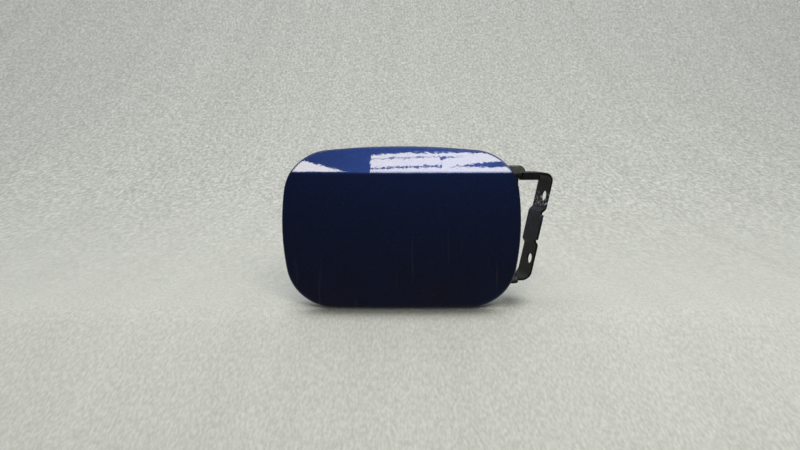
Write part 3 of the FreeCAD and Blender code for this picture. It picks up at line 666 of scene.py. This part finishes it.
# %% Floor and backdrop
def make_backdrop():
    """Sheet with a drooping front, a flat middle and a rising back."""
    low = cad_box[0].z
    droop, front_radius, front_length = math.radians(25), 0.095, 0.17
    rise, back_radius = math.radians(46), 2.2
    crest, flat, half_sheet = middle.y + 0.02, 0.04, 2.2
    front_steps, back_steps = 12, 24
    profile = []
    for step in range(front_steps + 1):
        angle = droop * (1 - step / front_steps)
        fall = front_radius * (1 - math.cos(angle))
        profile.append((crest - front_radius * math.sin(angle), low - fall))
    edge_y, edge_z = profile[0]
    profile.insert(0, (edge_y - front_length * math.cos(droop), edge_z - front_length * math.sin(droop)))
    for step in range(back_steps + 1):
        angle = rise * step / back_steps
        climb = back_radius * (1 - math.cos(angle))
        profile.append((crest + flat + back_radius * math.sin(angle), low + climb))
    mesh = bpy.data.meshes.new("backdrop")
    work = bmesh.new()
    rows = [[work.verts.new((middle.x + x, y, z)) for x in (-half_sheet, half_sheet)] for y, z in profile]
    for a, b in zip(rows, rows[1:]):
        work.faces.new((a[0], a[1], b[1], b[0])).smooth = True
    work.to_mesh(mesh)
    work.free()
    sheet = bpy.data.objects.new("backdrop", mesh)
    scene.collection.objects.link(sheet)
    return sheet


backdrop = make_backdrop()


# %% Speckled vinyl
def make_vinyl():
    """Pale grey vinyl with a marbled speckle, painted fold shade and a painted contact shadow."""
    material, tree = new_finish("pale_speckled_vinyl")
    place = add(tree, "ShaderNodeTexCoord")["Object"]
    # The speckle is drawn long in Y, because the sheet is seen at a low angle. It is coarser far back,
    # where a fine one would blur to an even grey.
    low_angle = add(tree, "ShaderNodeMapping", {"Vector": place, "Scale": (1, 0.45, 0.45)})[0]
    speckle = {"Vector": low_angle, "Scale": PER_MM / 1.8, "Detail": 3.0}
    speckle = add(tree, "ShaderNodeTexNoise", speckle)["Fac"]
    near_tones = [(0.3, "b4b7b1"), (0.5, "c6c9c4"), (0.7, "d7dad4")]
    near = add(tree, "ShaderNodeValToRGB", {"Fac": speckle}, near_tones)["Color"]
    marble = {"Vector": low_angle, "Scale": PER_MM / 5, "Detail": 4.0, "Roughness": 0.75}
    marble = add(tree, "ShaderNodeTexNoise", marble)["Fac"]
    far_tones = [(0.3, "8a8d87"), (0.5, "c6c9c4"), (0.7, "f8faf4")]
    far = add(tree, "ShaderNodeValToRGB", {"Fac": marble}, far_tones)["Color"]
    depth = add(tree, "ShaderNodeSeparateXYZ", {0: place})["Y"]
    near_to_far = {"Value": depth, "From Min": middle.y, "From Max": middle.y + 0.5}
    depth = add(tree, "ShaderNodeMapRange", near_to_far)[0]
    flecks = add(tree, "ShaderNodeMixRGB", {"Fac": depth, "Color1": near, "Color2": far})["Color"]
    # Faint upright bands of painted shade stand in for folds in the sheet.
    along = add(tree, "ShaderNodeMapping", {"Vector": place, "Scale": (1, 0.02, 0.02)})[0]
    painted_fold_shade = add(tree, "ShaderNodeTexNoise", {"Vector": along, "Scale": PER_MM / 45, "Detail": 2.0})["Fac"]
    painted_fold_shade = add(tree, "ShaderNodeValToRGB", {"Fac": painted_fold_shade}, [(0.3, "bfc2bb"), (0.7, "cfd2cb")])["Color"]
    sheet = add(tree, "ShaderNodeMixRGB", {"Fac": 0.35, "Color1": flecks, "Color2": painted_fold_shade})["Color"]
    # Painted contact shadow: Ambient Occlusion is 1 in the open and falls where the part covers the sky
    # within 22 mm, and the sheet's colour is multiplied by it.
    painted_shadow_ao = add(tree, "ShaderNodeAmbientOcclusion", {"Distance": 22 * MM}, samples=8)["AO"]
    painted_shadow_factor = {"Value": painted_shadow_ao, "From Min": 0.66, "From Max": 0.97, "To Min": 0.06}
    painted_shadow_factor = add(tree, "ShaderNodeMapRange", painted_shadow_factor)[0]
    shaded = {"Fac": 1.0, "Color1": sheet, "Color2": painted_shadow_factor}
    vinyl = {
        "Base Color": add(tree, "ShaderNodeMixRGB", shaded, blend_type="MULTIPLY")["Color"],
        "Roughness": 0.8,
        "Specular IOR Level": 0.1,
        "Normal": add(tree, "ShaderNodeBump", {"Height": speckle, "Distance": 0.1 * MM})[0],
    }
    shader = add(tree, "ShaderNodeBsdfPrincipled", vinyl)[0]
    add(tree, "ShaderNodeOutputMaterial", {"Surface": shader})
    return material


backdrop.data.materials.append(make_vinyl())

# %% [markdown]
# ## Light
# The strip over the crease leans back and mirrors what stands in front, and lacquer shows a lamp's exact
# shape. So the lamps have the shape of windows: a tall one with two glazing bars gives the white band
# with its upright left end, and a small one askew gives the wedge at the left. Only the upper panes are
# bright, because the strip shows no more of them. The shaded pane below fills in the blue of the flakes.
# Two soft boxes overhead light the sheet: a wide one behind, which also lights the back of the part and
# lays a soft shadow in front of it, and a narrow one in front. The room itself is dim.


# %% Windows
window_distance = 0.75


def window(name, left_top, size, radiance, roll_degrees):
    """Bright pane in front of the flap, facing it; its power follows from its radiance."""
    data = bpy.data.lights.new(name, "AREA")
    data.shape = "RECTANGLE"
    data.size, data.size_y = size
    data.energy = radiance * math.pi * size[0] * size[1]
    data.color = linear("fffaf0")[:3]
    light = bpy.data.objects.new(name, data)
    roll = math.radians(roll_degrees)
    along = Vector((math.cos(roll), 0, math.sin(roll)))
    down = Vector((math.sin(roll), 0, -math.cos(roll)))
    corner = middle + Vector((left_top[0], -window_distance, left_top[1]))
    light.location = corner + along * size[0] / 2 + down * size[1] / 2
    light.rotation_euler = (math.radians(90), 0, 0)
    light.rotation_euler.rotate_axis("Z", roll)
    scene.collection.objects.link(light)


daylight, shade = 16.5, 9.5
window("top_pane", (-0.117, 0.957), (0.60, 0.017), daylight, 2.7)
window("middle_pane", (-0.1165, 0.936), (0.27, 0.035), daylight, 2.7)
window("slanted_pane", (0.152, 0.940), (0.32, 0.036), daylight, 10.5)
window("bottom_pane", (-0.1145, 0.895), (0.60, 0.045), daylight, 2.7)
window("shaded_pane", (-0.112, 0.848), (0.60, 0.38), shade, 2.7)
window("small_window", (-0.398, 0.952), (0.22, 0.15), daylight, -18.5)


# %% Soft boxes and dim room
def soft_box(name, place, size, radiance, tilt_degrees):
    """Wide lamp overhead, at a place from the flap's middle; a tilt below zero turns it to the front."""
    data = bpy.data.lights.new(name, "AREA")
    data.shape = "RECTANGLE"
    data.size, data.size_y = size
    data.energy = radiance * math.pi * size[0] * size[1]
    light = bpy.data.objects.new(name, data)
    light.location = middle + Vector(place)
    light.rotation_euler = (math.radians(tilt_degrees), 0, 0)
    scene.collection.objects.link(light)


soft_box("back_box", (0, 0.8, 1.4), (4.0, 2.2), 1.05, -28)
soft_box("front_box", (0, -0.35, 1.4), (3.0, 0.7), 0.9, 0)
world = bpy.data.worlds.new("dim_room")
world.use_nodes = True
world.node_tree.nodes["Background"].inputs["Color"].default_value = linear("6a6d72")
world.node_tree.nodes["Background"].inputs["Strength"].default_value = 0.5
scene.world = world
scene.view_settings.view_transform = "Standard"
print("lamps:", [light.name for light in bpy.data.lights])
